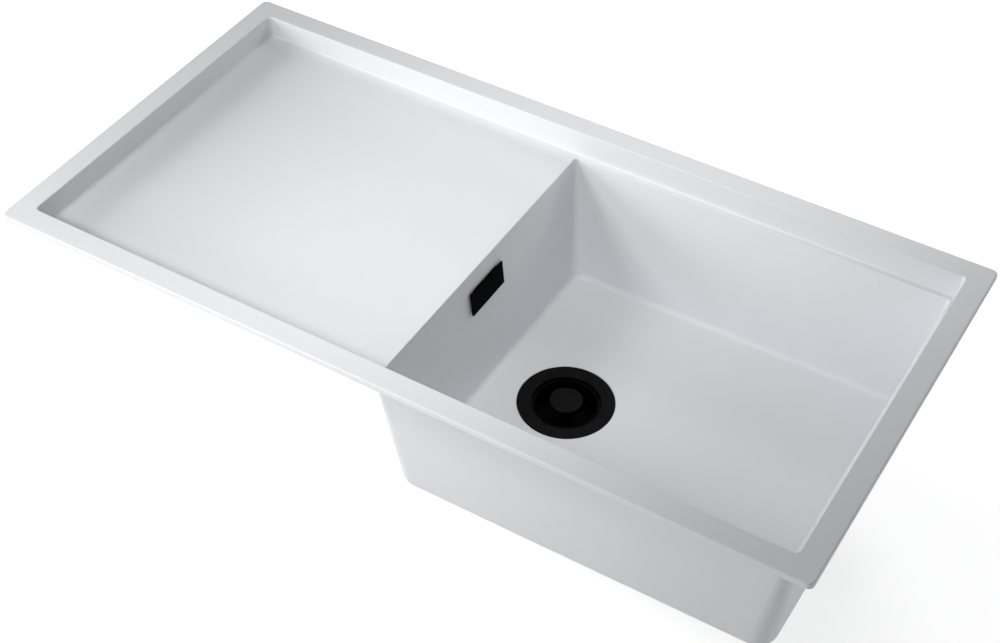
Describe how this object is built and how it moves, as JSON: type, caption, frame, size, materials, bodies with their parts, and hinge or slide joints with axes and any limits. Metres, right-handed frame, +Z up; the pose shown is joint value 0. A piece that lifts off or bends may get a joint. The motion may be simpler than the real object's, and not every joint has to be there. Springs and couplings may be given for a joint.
{
  "type": "kitchen sink with drainboard",
  "caption": "Inset composite kitchen sink with a sunk drainboard on the left, a deep bowl on the right, a strainer waste, an overflow and swing-out fixing clips.",
  "frame": {"origin": "middle of the front run of the foam strip's underside, which is the level of the worktop, 8 mm behind the sink's front edge", "axes": "+X along the worktop from the drainboard to the bowl, +Y from the front to the wall, +Z up"},
  "size_m": [1, 0.5, 0.2966],
  "materials": {
    "composite": "fine matt composite",
    "foam": "matt foam",
    "black_metal": "satin black",
    "black_plastic": "satin black",
    "dark_plastic": "moulded",
    "grey_plastic": "moulded",
    "seal_rubber": "matt",
    "steel": "zinc plated",
    "brass": "turned"
  },
  "bodies": {
    "sink": {"sink_body": "composite", "rim_seal": "foam", "waste_flange": "black_metal", "flange_seal": "seal_rubber", "clamp_screw": "steel", "clamp_nut": "brass", "body_seal": "seal_rubber", "waste_body": "dark_plastic", "overflow_frame": "dark_plastic", "overflow_screws": "steel", "overflow_seal": "seal_rubber", "overflow_body": "dark_plastic", "overflow_hose": "grey_plastic", "hose_nuts": "dark_plastic", "hose_washers": "seal_rubber", "fixing_inserts": "brass", "fixing_screws": "steel"},
    "basket": {"strainer_basket": "black_metal"},
    "plug": {"basket_knob": "black_plastic", "stopper": "seal_rubber", "post_clip": "steel"},
    "cover": {"overflow_cover": "black_plastic"},
    "clip_1": {"fixing_clip_1": "steel"},
    "clip_2": {"fixing_clip_2": "steel"},
    "clip_3": {"fixing_clip_3": "steel"},
    "clip_4": {"fixing_clip_4": "steel"},
    "clip_5": {"fixing_clip_5": "steel"},
    "clip_6": {"fixing_clip_6": "steel"},
    "clip_7": {"fixing_clip_7": "steel"},
    "clip_8": {"fixing_clip_8": "steel"}
  },
  "joints": [
    {"name": "basket_lift", "type": "slide", "parent": "sink", "child": "basket", "axis": [0, 0, 1], "range_m": [0, 0.075]},
    {"name": "plug_press", "type": "slide", "parent": "basket", "child": "plug", "axis": [0, 0, -1], "range_m": [0, 0.006]},
    {"name": "cover_pull", "type": "slide", "parent": "sink", "child": "cover", "axis": [0.9954, 0, 0.0958], "range_m": [0, 0.02]},
    {"name": "clip_1_swing", "type": "hinge", "parent": "sink", "child": "clip_1", "pos_m": [-0.3363, 0.04, -0.0375], "axis": [0, 0, -1], "range_deg": [0, 90]},
    {"name": "clip_2_swing", "type": "hinge", "parent": "sink", "child": "clip_2", "pos_m": [-0.10184, 0.04, -0.0375], "axis": [0, 0, -1], "range_deg": [0, 90]},
    {"name": "clip_3_swing", "type": "hinge", "parent": "sink", "child": "clip_3", "pos_m": [-0.29928, 0.444, -0.0375], "axis": [0, 0, -1], "range_deg": [0, 90]},
    {"name": "clip_4_swing", "type": "hinge", "parent": "sink", "child": "clip_4", "pos_m": [0.102, 0.4735, -0.0375], "axis": [0, 0, -1], "range_deg": [0, 90]},
    {"name": "clip_5_swing", "type": "hinge", "parent": "sink", "child": "clip_5", "pos_m": [0.3585, 0.4735, -0.0375], "axis": [0, 0, -1], "range_deg": [0, 90]},
    {"name": "clip_6_swing", "type": "hinge", "parent": "sink", "child": "clip_6", "pos_m": [-0.452, 0.242, -0.0375], "axis": [0, 0, -1], "range_deg": [0, 90]},
    {"name": "clip_7_swing", "type": "hinge", "parent": "sink", "child": "clip_7", "pos_m": [0.4815, 0.142, -0.0375], "axis": [0, 0, -1], "range_deg": [0, 90]},
    {"name": "clip_8_swing", "type": "hinge", "parent": "sink", "child": "clip_8", "pos_m": [0.4815, 0.352, -0.0375], "axis": [0, 0, -1], "range_deg": [0, 90]}
  ]
}
